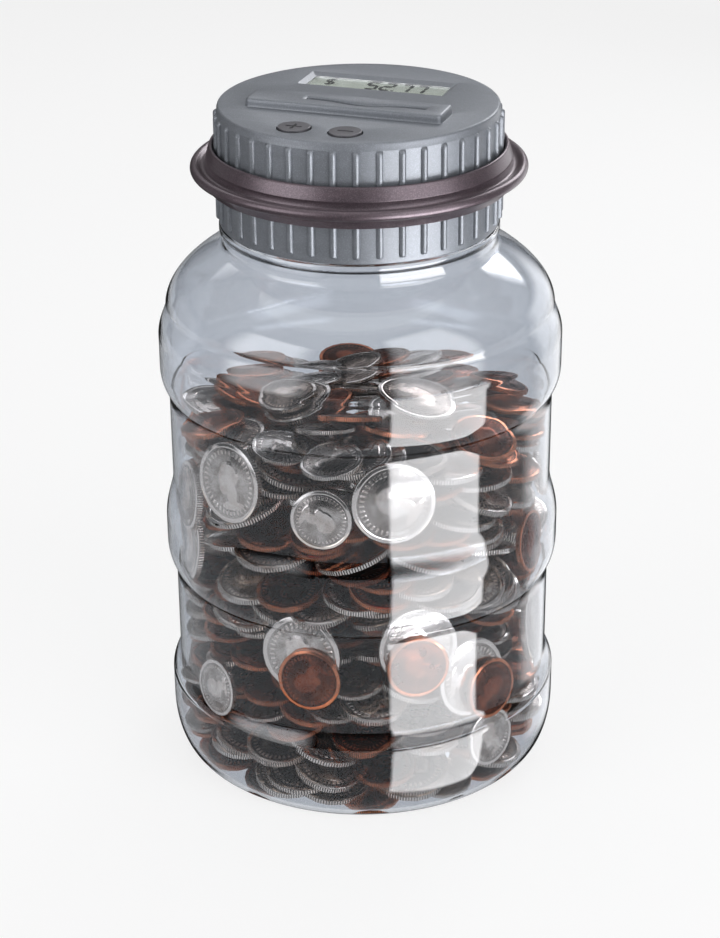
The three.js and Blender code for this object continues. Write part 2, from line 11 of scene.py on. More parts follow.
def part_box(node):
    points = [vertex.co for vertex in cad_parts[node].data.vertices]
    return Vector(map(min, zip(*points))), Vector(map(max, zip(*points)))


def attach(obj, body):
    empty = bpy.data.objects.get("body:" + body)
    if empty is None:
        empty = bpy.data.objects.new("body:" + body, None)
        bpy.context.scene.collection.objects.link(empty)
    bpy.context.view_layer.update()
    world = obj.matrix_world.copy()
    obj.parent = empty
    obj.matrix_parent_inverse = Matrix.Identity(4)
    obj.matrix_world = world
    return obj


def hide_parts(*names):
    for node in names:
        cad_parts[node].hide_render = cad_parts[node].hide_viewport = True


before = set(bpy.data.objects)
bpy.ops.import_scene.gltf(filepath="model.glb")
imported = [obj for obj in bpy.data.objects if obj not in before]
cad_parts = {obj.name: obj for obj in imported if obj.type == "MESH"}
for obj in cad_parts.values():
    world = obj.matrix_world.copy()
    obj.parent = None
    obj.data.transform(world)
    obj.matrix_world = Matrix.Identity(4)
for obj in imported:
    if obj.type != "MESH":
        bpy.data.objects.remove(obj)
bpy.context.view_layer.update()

MM = 0.001
TURN = 2 * math.pi

# ---- Sizes in millimetres, worked out from the frame -------------------------------------------


def box_mm(node):
    """Lowest and highest corner of a CAD node, in millimetres."""
    low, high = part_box(node)
    return np.array(low) / MM, np.array(high) / MM


JAR_HIGH = box_mm("jar_body")[1]
LID_LOW, LID_HIGH = box_mm("lid_cap")
RING_LOW, RING_HIGH = box_mm("bumper_ring")
WINDOW_LOW, WINDOW_HIGH = box_mm("display_window")
PANEL_LOW = box_mm("display_panel")[0]

HOOP_RADIUS = JAR_HIGH[0]
RIM_HEIGHT = JAR_HIGH[2]
JAR_WALL = 1.2
WALL_RADIUS = HOOP_RADIUS - 2.5
BORE_RADIUS = WALL_RADIUS - JAR_WALL

BLOCK_HEIGHT = 2.5
DECK_TOP = LID_HIGH[2] - BLOCK_HEIGHT
DECK_UNDER = DECK_TOP - 2
RIB_REACH = LID_HIGH[0]
SKIRT_RADIUS = RIB_REACH - 1
SKIRT_BOTTOM = LID_LOW[2]
LID_BORE = SKIRT_RADIUS - 1.5

THREAD_LEAD = 16.0
THREAD_STARTS = 4
THREAD_DEPTH = 1.6
LID_THREAD_START = 10  # degrees

# ---- Mesh making -------------------------------------------------------------------------------


def grid_faces(rows, columns, closed=True):
    """Quads between neighbouring rows of a grid whose columns run round and close on themselves."""
    across = columns if closed else columns - 1
    row, column = np.meshgrid(np.arange(rows - 1), np.arange(across), indexing="ij")
    after = (column + 1) % columns
    quads = [row * columns + column, row * columns + after]
    quads += [(row + 1) * columns + after, (row + 1) * columns + column]
    return np.stack(quads, -1).reshape(-1, 4)


def turned(profile, segments=192, close=False):
    """Each (radius, height) of the profile carried round Z: x = r cos a, y = r sin a, z = h."""
    profile = np.array(profile, float)
    if close:
        profile = np.vstack([profile, profile[:1]])
    angle = np.arange(segments) * TURN / segments
    radius = profile[:, :1]
    points = np.stack([
        radius * np.cos(angle),
        radius * np.sin(angle),
        np.repeat(profile[:, 1:], segments, 1),
    ], -1).reshape(-1, 3)
    return points, grid_faces(len(profile), segments)


def loft(loops):
    """A wall through closed loops of equally many points, one after another."""
    loops = np.array(loops, float)
    return loops.reshape(-1, 3), grid_faces(len(loops), loops.shape[1])


def moved(shell, x=0, y=0, z=0):
    return shell[0] + np.array([x, y, z]), shell[1]


def merged(*shells):
    """Several (points, faces) pairs as one."""
    points, faces, start = [], [], 0
    for shell_points, shell_faces in shells:
        points.append(shell_points)
        faces += [tuple(int(i) + start for i in face) for face in shell_faces]
        start += len(shell_points)
    return np.vstack(points), faces


def arc(middle, radius, start, end, steps, stretch=1.0):
    """Points on an arc from angle start to end in degrees; stretch scales its height."""
    angle = np.radians(np.linspace(start, end, steps + 1))
    return [
        (middle[0] + radius * c, middle[1] + radius * stretch * s)
        for c, s in zip(np.cos(angle), np.sin(angle))
    ]


def round_box(middle, half, corner, steps=5):
    """Outline of a rectangle with round corners, anticlockwise, as (x, y) points."""
    points = []
    for index, (sx, sy) in enumerate([(1, 1), (-1, 1), (-1, -1), (1, -1)]):
        centre = (middle[0] + sx * (half[0] - corner), middle[1] + sy * (half[1] - corner))
        points += arc(centre, corner, 90 * index, 90 * index + 90, steps)
    return np.array(points)


def circle(middle, radius, count=48):
    angle = np.arange(count) * TURN / count
    return np.stack([middle[0] + radius * np.cos(angle), middle[1] + radius * np.sin(angle)], -1)


def at_height(outline, height):
    heights = np.broadcast_to(height, (len(outline),))
    return np.column_stack([outline, heights])


def inside(outline, points):
    """True for each point within a closed outline, by counting the edges crossed to its right."""
    x, y = points[:, :1], points[:, 1:2]
    ax, ay = outline.T
    bx, by = np.roll(outline, -1, 0).T
    with np.errstate(divide="ignore", invalid="ignore"):
        crossing = ((ay > y) != (by > y)) & (x < (bx - ax) * (y - ay) / (by - ay) + ax)
    return crossing.sum(1) % 2 == 1


def sheet_with_holes(outer, holes, height, extra=None):
    """A flat sheet inside an outline and outside each hole; height is a number or a function."""
    loops = [outer, *holes]
    points = np.vstack(loops + ([extra] if extra is not None else []))
    edges, start = [], 0
    for loop in loops:
        count = len(loop)
        edges += [(start + i, start + (i + 1) % count) for i in range(count)]
        start += count
    flat, _, faces, *_ = delaunay_2d_cdt([Vector(p) for p in points], edges, [], 1, 1e-7)
    flat = np.array([tuple(p) for p in flat])
    faces = np.array([face for face in faces if len(face) == 3])
    middles = flat[faces].mean(1)
    keep = inside(outer, middles)
    for hole in holes:
        keep &= ~inside(hole, middles)
    heights = height(flat[:, 0], flat[:, 1]) if callable(height) else height
    return at_height(flat, heights), faces[keep]


def make(name, shell, material, body, replaced=(),
         smooth=True, uv=None, tone=None, sharp=35):
    """One finished piece from points in millimetres; doubles are merged and faces turned outwards."""
    points, faces = shell
    mesh = bpy.data.meshes.new(name)
    mesh.from_pydata((np.asarray(points) * MM).tolist(), [], [tuple(map(int, f)) for f in faces])
    if uv is not None:
        layer = mesh.uv_layers.new(name="coin")
        corners = np.zeros(len(mesh.loops), np.int32)
        mesh.loops.foreach_get("vertex_index", corners)
        layer.data.foreach_set("uv", uv[corners].astype(np.float32).ravel())
        mesh.attributes.new("tone", "FLOAT", "POINT").data.foreach_set("value", tone.astype(np.float32))
    else:
        work = bmesh.new()
        work.from_mesh(mesh)
        bmesh.ops.remove_doubles(work, verts=work.verts, dist=1e-6)
        bmesh.ops.dissolve_degenerate(work, edges=work.edges, dist=1e-7)
        bmesh.ops.recalc_face_normals(work, faces=work.faces)
        work.to_mesh(mesh)
        work.free()
    mesh.materials.append(material)
    if smooth:
        mesh.polygons.foreach_set("use_smooth", np.ones(len(mesh.polygons), bool))
        mesh.set_sharp_from_angle(angle=math.radians(sharp))
    piece = bpy.data.objects.new(name, mesh)
    bpy.context.scene.collection.objects.link(piece)
    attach(piece, body)
    if replaced:
        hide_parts(*replaced)
    return piece


# ---- Materials ---------------------------------------------------------------------------------


def linear(colour, alpha=1.0):
    """An sRGB hex colour as linear RGBA."""
    parts = np.array([int(colour[i:i + 2], 16) for i in (1, 3, 5)]) / 255
    parts = np.where(parts <= 0.04045, parts / 12.92, ((parts + 0.055) / 1.055) ** 2.4)
    return (*parts.tolist(), alpha)


def add(tree, kind, inputs=None, **settings):
    """One node with its settings; an input is a value, or another node's output to link."""
    made = tree.nodes.new(kind)
    for name, value in settings.items():
        setattr(made, name, value)
    for name, value in (inputs or {}).items():
        if isinstance(value, bpy.types.NodeSocket):
            tree.links.new(value, made.inputs[name])
        else:
            made.inputs[name].default_value = value
    return made


def new_material(name, **values):
    """A material with one Principled shader, and its tree, shader and Object coordinates."""
    material = bpy.data.materials.new(name)
    material.use_nodes = True
    tree = material.node_tree
    shader = tree.nodes["Principled BSDF"]
    for socket, value in values.items():
        shader.inputs[socket.replace("_", " ")].default_value = value
    place = add(tree, "ShaderNodeTexCoord").outputs["Object"]
    return material, tree, shader, place


def math_node(tree, operation, first, second=0.0, third=0.0):
    return add(tree, "ShaderNodeMath", {0: first, 1: second, 2: third}, operation=operation).outputs[0]


def mixed_colour(tree, share, first, second):
    made = add(tree, "ShaderNodeMix", {0: share, 6: first, 7: second}, data_type="RGBA")
    return made.outputs[2]


def ramp(tree, value, low, high, to_low=0.0, to_high=1.0):
    made = add(tree, "ShaderNodeMapRange", {0: value, 1: low, 2: high, 3: to_low, 4: to_high})
    return made.outputs[0]


def noise(tree, place, size_mm, detail=2.0, stretch=None, roughness=0.5):
    """Noise whose features are about size_mm across, longer along an axis by stretch."""
    if stretch is not None:
        place = add(tree, "ShaderNodeMapping", {0: place, 3: [1 / s for s in stretch]}).outputs[0]
    inputs = {"Vector": place, "Scale": 1 / (size_mm * MM), "Detail": detail, "Roughness": roughness}
    return add(tree, "ShaderNodeTexNoise", inputs).outputs[0]


def bump(tree, shader, height, distance_mm, strength=1.0):
    inputs = {"Height": height, "Distance": distance_mm * MM, "Strength": strength}
    made = add(tree, "ShaderNodeBump", inputs)
    tree.links.new(made.outputs[0], shader.inputs["Normal"])
    return made


def clear_pet():
    """Blow-moulded PET: clear, slightly blue, glossy, with the slow ripple of a stretched wall."""
    material, tree, shader, place = new_material(
        "clear_blow_moulded_pet", Base_Color=linear("#dde1e7"), Roughness=0.015, IOR=1.57,
        Transmission_Weight=1.0,
    )
    ripple = noise(tree, place, 38, 1.0, stretch=(1, 1, 2.5))
    bump(tree, shader, ripple, 0.35, 0.25)
    light_through(tree, shader, "#e2e5ea")
    return material


def light_through(tree, shader, tint):
    """Lets lamp light through a clear wall, so what is behind it is lit without noise."""
    output = tree.nodes["Material Output"]
    path = add(tree, "ShaderNodeLightPath")
    open_side = add(tree, "ShaderNodeBsdfTransparent", {"Color": linear(tint)})
    inputs = {0: path.outputs["Is Shadow Ray"], 1: shader.outputs[0], 2: open_side.outputs[0]}
    both = add(tree, "ShaderNodeMixShader", inputs)
    tree.links.new(both.outputs[0], output.inputs["Surface"])


def clear_acrylic():
    """Cast acrylic window: clear and flat."""
    material, tree, shader, place = new_material(
        "cast_acrylic_window", Base_Color=linear("#f4f6f6"), Roughness=0.02, IOR=1.49,
        Transmission_Weight=1.0,
    )
    bump(tree, shader, noise(tree, place, 12), 0.02, 0.2)
    light_through(tree, shader, "#eef1f0")
    return material


def metallic_paint(name, colour, dark, flake_colour, roughness, flake_mm, flake_share):
    """Satin metallic paint on ABS: fine aluminium flakes under a binder, drawn a little coarser
    than real ones, with faint streaks along the spraying direction and a slight orange peel."""
    material, tree, shader, place = new_material(name, Metallic=0.65, Roughness=roughness)
    cells = add(tree, "ShaderNodeTexVoronoi", {"Vector": place, "Scale": 1 / (flake_mm * MM)})
    spark = add(tree, "ShaderNodeSeparateColor", {0: cells.outputs["Color"]}).outputs[0]
    cloud = noise(tree, place, 1.6, 3.0, stretch=(14, 1, 1))
    base = mixed_colour(tree, ramp(tree, cloud, 0.3, 0.7), linear(dark), linear(colour))
    bright = ramp(tree, spark, 1 - flake_share, 1.0, 0.0, 0.3)
    tree.links.new(mixed_colour(tree, bright, base, linear(flake_colour)), shader.inputs["Base Color"])
    dull = ramp(tree, cloud, 0.25, 0.75, roughness - 0.03, roughness + 0.04)
    tree.links.new(dull, shader.inputs["Roughness"])
    shader.inputs["Coat Weight"].default_value = 0.25
    shader.inputs["Coat Roughness"].default_value = 0.18
    height = math_node(tree, "MULTIPLY_ADD", spark, 0.3, noise(tree, place, 0.9, 2.0))
    bump(tree, shader, height, 0.01, 0.3)
    return material


def moulded(name, colour, other, roughness, grain_mm=0.25, depth_mm=0.02, metallic=0.0):
    """Moulded plastic, rubber or plate with a fine even grain and a little unevenness of tone."""
    material, tree, shader, place = new_material(name, Roughness=roughness, Metallic=metallic)
    tone = ramp(tree, noise(tree, place, 6, 3.0), 0.3, 0.7)
    tree.links.new(mixed_colour(tree, tone, linear(colour), linear(other)), shader.inputs["Base Color"])
    grain = noise(tree, place, grain_mm, 2.0)
    dull = ramp(tree, grain, 0.3, 0.7, roughness - 0.05, roughness + 0.08)
    tree.links.new(dull, shader.inputs["Roughness"])
    bump(tree, shader, grain, depth_mm, 0.5)
    return material


def coin_metal(name, fresh, worn, dark, dirt, roughness):
    """Struck coin: bright on the raised rim and relief, dulled and brown in the hollows, with a
    reeded edge. The face is worked out from the coin's own UV, where the rim is at radius 1, and
    each coin's "tone" says how far it has gone from fresh through worn to dark."""
    material, tree, shader, place = new_material(name, Metallic=1.0, Roughness=roughness)
    uv = add(tree, "ShaderNodeUVMap", uv_map="coin").outputs[0]
    parts = add(tree, "ShaderNodeSeparateXYZ", {0: uv})
    radius = add(tree, "ShaderNodeVectorMath", {0: uv}, operation="LENGTH").outputs["Value"]
    angle = math_node(tree, "ARCTAN2", parts.outputs[1], parts.outputs[0])
    tone = add(tree, "ShaderNodeAttribute", attribute_name="tone").outputs["Fac"]
    # relief: rim, a ring of small marks, and a plain head in profile built from ellipses
    rim = ramp(tree, radius, 0.87, 0.9)
    teeth = math_node(tree, "SINE", math_node(tree, "MULTIPLY", angle, 38.0))
    band = math_node(tree, "MULTIPLY", ramp(tree, radius, 0.69, 0.71), ramp(tree, radius, 0.82, 0.8))
    marks = math_node(tree, "MULTIPLY", ramp(tree, teeth, -0.1, 0.3), band)
    head = None
    for (x, y), across, up in HEAD_ELLIPSES:
        inputs = {0: uv, 1: (-x / across, -y / up, 0), 3: (1 / across, 1 / up, 1)}
        local = add(tree, "ShaderNodeMapping", inputs).outputs[0]
        reach = add(tree, "ShaderNodeVectorMath", {0: local}, operation="LENGTH").outputs["Value"]
        lump = ramp(tree, reach, 1.0, 0.72)
        head = lump if head is None else math_node(tree, "MAXIMUM", head, lump)
    scaled = add(tree, "ShaderNodeVectorMath", {0: uv, 3: 0.01}, operation="SCALE").outputs[0]
    curls = noise(tree, scaled, 2.4, 1.0)
    face = math_node(tree, "MULTIPLY_ADD", head, math_node(tree, "MULTIPLY_ADD", curls, 0.6, 0.5), marks)
    reeds = math_node(tree, "SINE", math_node(tree, "MULTIPLY", angle, 90.0))
    on_edge = ramp(tree, radius, 0.975, 0.985)
    relief = math_node(tree, "MAXIMUM", face, rim)
    relief = math_node(tree, "MULTIPLY_ADD", math_node(tree, "MULTIPLY", on_edge, reeds), 0.8, relief)
    blotch = noise(tree, place, 6, 4.0, roughness=0.65)
    aged = math_node(tree, "ADD", tone, ramp(tree, blotch, 0.3, 0.7, -0.25, 0.25))
    aged = math_node(tree, "MULTIPLY_ADD", rim, -0.5, aged)
    colour = mixed_colour(tree, ramp(tree, aged, 0.0, 0.5), linear(fresh), linear(worn))
    colour = mixed_colour(tree, ramp(tree, aged, 0.5, 1.0), colour, linear(dark))
    sunk = math_node(tree, "SUBTRACT", 1.0, ramp(tree, relief, 0.0, 0.5))
    grime = math_node(tree, "MULTIPLY", sunk, ramp(tree, aged, 0.0, 1.0, 0.25, 0.9))
    colour = mixed_colour(tree, grime, colour, linear(dirt))
    groove = math_node(tree, "MULTIPLY", on_edge, ramp(tree, reeds, 0.2, -0.6, 0.0, 0.75))
    colour = mixed_colour(tree, groove, colour, linear(dirt))
    tree.links.new(colour, shader.inputs["Base Color"])
    dull = ramp(tree, aged, 0.0, 1.0, roughness - 0.08, roughness + 0.16)
    tree.links.new(dull, shader.inputs["Roughness"])
    bump(tree, shader, relief, 0.14, 0.8)
    return material


# middle, half width and half height of skull, brow, chin, neck and shoulder of a plain profile
HEAD_ELLIPSES = [((0.05, 0.2), 0.34, 0.34), ((-0.12, 0.08), 0.22, 0.3), ((-0.14, -0.14), 0.2, 0.17),
                 ((0.08, -0.28), 0.2, 0.3), ((0.08, -0.56), 0.4, 0.12)]


def display_face():
    """Reflective liquid crystal: pale green-grey, a faint streaky polariser, glossy top film."""
    material, tree, shader, place = new_material("liquid_crystal_glass", Roughness=0.22)
    streak = noise(tree, place, 1.2, 2.0, stretch=(6, 1, 1))
    colour = mixed_colour(tree, streak, linear("#e6ecdf"), linear("#f4f8ee"))
    tree.links.new(colour, shader.inputs["Base Color"])
    shader.inputs["Coat Weight"].default_value = 0.5
    bump(tree, shader, streak, 0.01, 0.2)
    return material


PET = clear_pet()
ACRYLIC = clear_acrylic()
SILVER = metallic_paint("satin_silver_paint_on_abs", "#7e8288", "#767a80", "#abb0b7", 0.54, 0.16, 0.35)
BUTTON_GREY = metallic_paint("satin_grey_paint_on_keys", "#656468", "#5d5c60", "#88898e", 0.44, 0.16, 0.3)
BRONZE = metallic_paint("mauve_bronze_paint_on_abs", "#5f5359", "#564c52", "#9a8a93", 0.38, 0.17, 0.45)
CUPRONICKEL = coin_metal("worn_cupronickel", "#f2e8de", "#c4b3a6", "#6b5a50", "#1c140f", 0.18)
COPPER = coin_metal("worn_copper_plate", "#d98e6a", "#8c4d37", "#40231a", "#170c08", 0.2)
BLACK_ABS = moulded("spark_textured_black_abs", "#2a2b2d", "#323335", 0.5)
GREEN_BOARD = moulded("solder_mask_on_glass_epoxy", "#1d5a37", "#246b42", 0.35, 0.6)
BLACK_EPOXY = moulded("cast_black_epoxy", "#121213", "#1a1a1b", 0.22, 1.5)
SILICONE = moulded("matt_silicone", "#5a5d60", "#65686b", 0.7)
ACETAL = moulded("natural_acetal", "#dedcd4", "#e7e5de", 0.42)
NICKEL_STEEL = moulded("nickel_plated_steel", "#c3c5c7", "#adb0b3", 0.26, 0.4, 0.01, metallic=1.0)
SPRING_BRONZE = moulded("phosphor_bronze_strip", "#c69c5d", "#b38a50", 0.3, 0.4, 0.01, metallic=1.0)
CELL_FILM = moulded("shrink_film_on_steel_can", "#3b4046", "#454b52", 0.3, 1.0, 0.01, metallic=0.4)
# a near-black sheet on the floor of each button's sunk sign: painted shade in the groove
SIGN_GROOVE_SHADE = moulded("painted_shade_in_sign_groove", "#08090a", "#0e0f10", 0.6)
SEGMENT_INK = moulded("dark_liquid_crystal_segment", "#060708", "#0b0c0d", 0.5, 0.8)

# ---- Jar ---------------------------------------------------------------------------------------

FOOT_RADIUS = 54.0
# of each hoop: its foot, where it is first full, where it is last full, and its top
LOW_HOOP = (0.0, 15.0, 24.0, 31.5)
UPPER_HOOPS = [(62.0, 70.0, 77.0, 91.0), (119.5, 127.0, 136.5, 146.5)]
SHOULDER_FOOT = 146.5
BEAD = (41.0, 168.4, 170.3)
NECK_RADIUS = 37.0
NECK_BORE = 35.7


def hoop_rise(wall, crest, bottom, full, steps=20):
    """Out to a hoop's crest from the crease at its foot: r = wall + (crest - wall)(1 - (1 - t)^2.4)."""
    return [(wall + (crest - wall) * (1 - (1 - t) ** 2.4), bottom + (full - bottom) * t)
            for t in np.linspace(0, 1, steps + 1)]


def foot_curve(foot, crest, bottom, full, steps=20):
    """Out from the standing ring to the low hoop's crest: a quarter ellipse."""
    rise = np.linspace(0, math.pi / 2, steps + 1)
    return [(foot + (crest - foot) * math.sin(a), full - (full - bottom) * math.cos(a)) for a in rise]


def hoop_fall(wall, crest, full, top, steps=20, bend=1.0):
    """Back in from a hoop's crest: half a cosine wave, with its bend moved towards the crest below 1."""
    share = np.linspace(0, 1, steps + 1)
    inward = 0.5 - 0.5 * np.cos(math.pi * share ** bend)
    return [(crest - (crest - wall) * w, full + (top - full) * t) for w, t in zip(inward, share)]


def shoulder(wall, end, steps=36):
    """A cubic curve that leaves the wall leaning a little inwards and runs in to the neck."""
    knots = np.array([(wall, SHOULDER_FOOT), (wall - 0.9, SHOULDER_FOOT + 6), (wall - 7.4, end[1] - 5), end])
    t = np.linspace(0, 1, steps + 1)[1:, None]
    curve = (1 - t) ** 3 * knots[0] + 3 * t * (1 - t) ** 2 * knots[1]
    curve = curve + 3 * t ** 2 * (1 - t) * knots[2] + t ** 3 * knots[3]
    return [tuple(p) for p in curve]


def wall_steps(radius, bottom, top, count):
    return [(radius, z) for z in np.linspace(bottom, top, count + 2)[1:-1]]


def wall_and_hoops(wall, crest):
    """The side from the low hoop's crest up to the foot of the shoulder."""
    points = hoop_fall(wall, crest, *LOW_HOOP[2:], bend=0.8)
    below = LOW_HOOP[3]
    for bottom, full, last, top in UPPER_HOOPS:
        points += wall_steps(wall, below, bottom, 6)
        points += hoop_rise(wall, crest, bottom, full) + hoop_fall(wall, crest, last, top)
        below = top
    return points


def jar_profile():
    """Outside from the middle of the base up to the rim, then down the inside."""
    outside = [(0, 4.5), (16, 4.3), (30, 3.2), (40, 1.8), (45.5, 0.7), (48.5, 0.12), (50.5, 0.0)]
    outside += foot_curve(FOOT_RADIUS, HOOP_RADIUS, *LOW_HOOP[:2])
    outside += wall_and_hoops(WALL_RADIUS, HOOP_RADIUS)
    outside += shoulder(WALL_RADIUS, (40.9, 163.4))
    outside += [(40.55, 163.75), (40.3, 164.4), (40.2, 165.4), (40.2, 167.2), (40.25, 167.7), (40.4, 168.0)]
    outside += [(BEAD[0], BEAD[1] + 0.3), (BEAD[0], BEAD[2] - 0.3), (BEAD[0] - 0.3, BEAD[2])]
    outside += [(NECK_RADIUS + 0.5, BEAD[2]), (NECK_RADIUS, BEAD[2] + 0.5)]
    outside += wall_steps(NECK_RADIUS, BEAD[2] + 0.5, RIM_HEIGHT - 0.4, 46)
    outside += [(NECK_RADIUS, RIM_HEIGHT - 0.3), (NECK_RADIUS - 0.3, RIM_HEIGHT)]
    wall, crest = WALL_RADIUS - JAR_WALL, HOOP_RADIUS - JAR_WALL
    within = [(0, 5.7), (16, 5.5), (30, 4.4), (40, 3.0), (45.5, 1.9), (49, 1.25), (51, JAR_WALL)]
    within += foot_curve(FOOT_RADIUS - 0.6, crest, JAR_WALL, LOW_HOOP[1])
    within += wall_and_hoops(wall, crest)
    within += shoulder(wall, (39.9, 162.5))
    within += [(39.4, 162.95), (39.1, 163.7), (39.0, 165), (39.0, 168.6), (38.7, 169.3), (37.4, 170.1)]
    within += [(36.2, 170.9), (NECK_BORE, 172)]
    within += [(NECK_BORE, RIM_HEIGHT - 0.3), (NECK_BORE + 0.3, RIM_HEIGHT)]
    return outside + within[::-1]


def thread_height(angle, height, start_height, start_angle, sweep, depth):
    """Height of the thread ridges above their wall: four helical ridges of rounded section, each
    running sweep degrees round from its start and fading out at both ends."""
    total = np.zeros_like(angle)
    for start in range(THREAD_STARTS):
        along = np.degrees(angle) - start_angle - start * 360 / THREAD_STARTS
        along = np.mod(along + 20, 360) - 20
        middle = start_height + THREAD_LEAD * along / 360
        section = np.clip(1.25 - np.abs(height - middle) / 0.75, 0, 1)
        fade = np.clip(along / 6 + 0.5, 0, 1) * np.clip((sweep - along) / 6 + 0.5, 0, 1)
        total = np.maximum(total, depth * section * fade)
    return total


def jar_shell():
    points, faces = turned(jar_profile(), 216)
    radius = np.hypot(points[:, 0], points[:, 1])
    angle = np.arctan2(points[:, 1], points[:, 0])
    neck = (np.abs(radius - NECK_RADIUS) < 0.01) & (points[:, 2] > BEAD[2] + 0.6)
    ridge = np.where(neck, thread_height(angle, points[:, 2], 176.6, 0, 80, THREAD_DEPTH), 0)
    points[:, :2] *= (1 + ridge / np.maximum(radius, 1))[:, None]
    return points, faces


make("jar_shell", jar_shell(), PET, "jar", ["jar_body"], sharp=80)

# ---- Coins -------------------------------------------------------------------------------------

# diameter, thickness and share of each coin; the first is copper
COINS = [(19.05, 1.52, 0.44), (21.21, 1.95, 0.14), (17.91, 1.35, 0.12), (24.26, 1.75, 0.30)]
CELL = 1.0
COIN_SIDES = 20


def inner_radius(height):
    """Radius of the jar's bore at a height; the hoops are wider than the wall."""
    radius = np.full(np.shape(height), BORE_RADIUS)
    for bottom, full, last, top in (LOW_HOOP, *UPPER_HOOPS):
        below = np.clip((full - height) / (full - bottom), 0, 1)
        above = np.clip((height - last) / (top - last), 0, 1)
        span = (height > bottom) & (height < top)
        swell = 2.5 * (1 - below ** 2.4) * (0.5 + 0.5 * np.cos(math.pi * above))
        radius = radius + np.where(span, swell, 0)
    foot = np.clip((LOW_HOOP[1] - height) / LOW_HOOP[1], 0, 1)
    low = FOOT_RADIUS - 0.6 + 5.4 * np.sqrt(np.maximum(0, 1 - foot ** 2))
    return np.where(height < LOW_HOOP[1], np.minimum(radius, low), radius)


# how worn the standing coins of each kind are
STANDING_TONE = (0.55, 0.3, 0.14, 0.1)
# coins that stand flat against the wall: kind, angle round the jar and height in the jar
VIEW_ANGLE = 19.2 - 90
LEANING = [
    (3, 9.5, 104, 0), (2, -12, 99, 0), (0, -16.5, 46, 0), (3, -20, 52.5, 2.2), (0, 17, 50, 0),
    (3, 18, 55, 2.2),
    (2, 44, 18, 0), (0, 44, 35, 0), (3, 38, 40, 2.2), (2, -53, 32, 0), (3, -72, 74, 0), (0, 66, 76, 0),
    (3, 74, 44, 0), (3, -44, 104, 0), (2, 96, 88, 0), (0, 131, 30, 0), (1, 160, 71, 0), (3, 200, 44, 0),
    (0, 230, 96, 0), (2, 262, 22, 0), (1, 290, 90, 0),
]


def leaning_coin(kind, angle, height, inset):
    """Place of a coin standing against the wall: its middle and its outward axis."""
    diameter, thick, _ = COINS[kind]
    turn = math.radians(VIEW_ANGLE + angle)
    reach = math.sqrt(BORE_RADIUS ** 2 - (diameter / 2) ** 2) - thick / 2 - 0.2 - inset
    middle = np.array([reach * math.cos(turn), reach * math.sin(turn), height])
    axis = np.array([math.cos(turn), math.sin(turn), 0.12])
    return middle, axis / np.linalg.norm(axis)


def pile_top(x, y):
    """Height that the heap is filled to: a low mound, a little lower at the back."""
    turn = math.radians(VIEW_ANGLE)
    towards = (x * math.cos(turn) + y * math.sin(turn)) / BORE_RADIUS
    far = np.hypot(x, y) / BORE_RADIUS
    return 111 + 9 * (1 - far ** 2) + 3 * towards


def room_at(x, y, z, standing):
    """How far from the axis a lying coin may reach: the bore, or short of a standing coin."""
    room = np.minimum(inner_radius(z - np.where(z > 40, 4.5, 0.0)), inner_radius(z + 2.0)) - 0.4
    angle = np.arctan2(y, x)
    for kind, middle, _, _ in standing:
        radius = COINS[kind][0] / 2
        side = np.arctan2(middle[1], middle[0])
        apart = np.abs(np.angle(np.exp(1j * (angle - side)))) * BORE_RADIUS
        near = apart ** 2 + (z - middle[2]) ** 2 < (radius + 1.5) ** 2
        limit = math.hypot(middle[0], middle[1]) - COINS[kind][1] / 2 - 0.8
        room = np.where(near, np.minimum(room, limit), room)
    return room


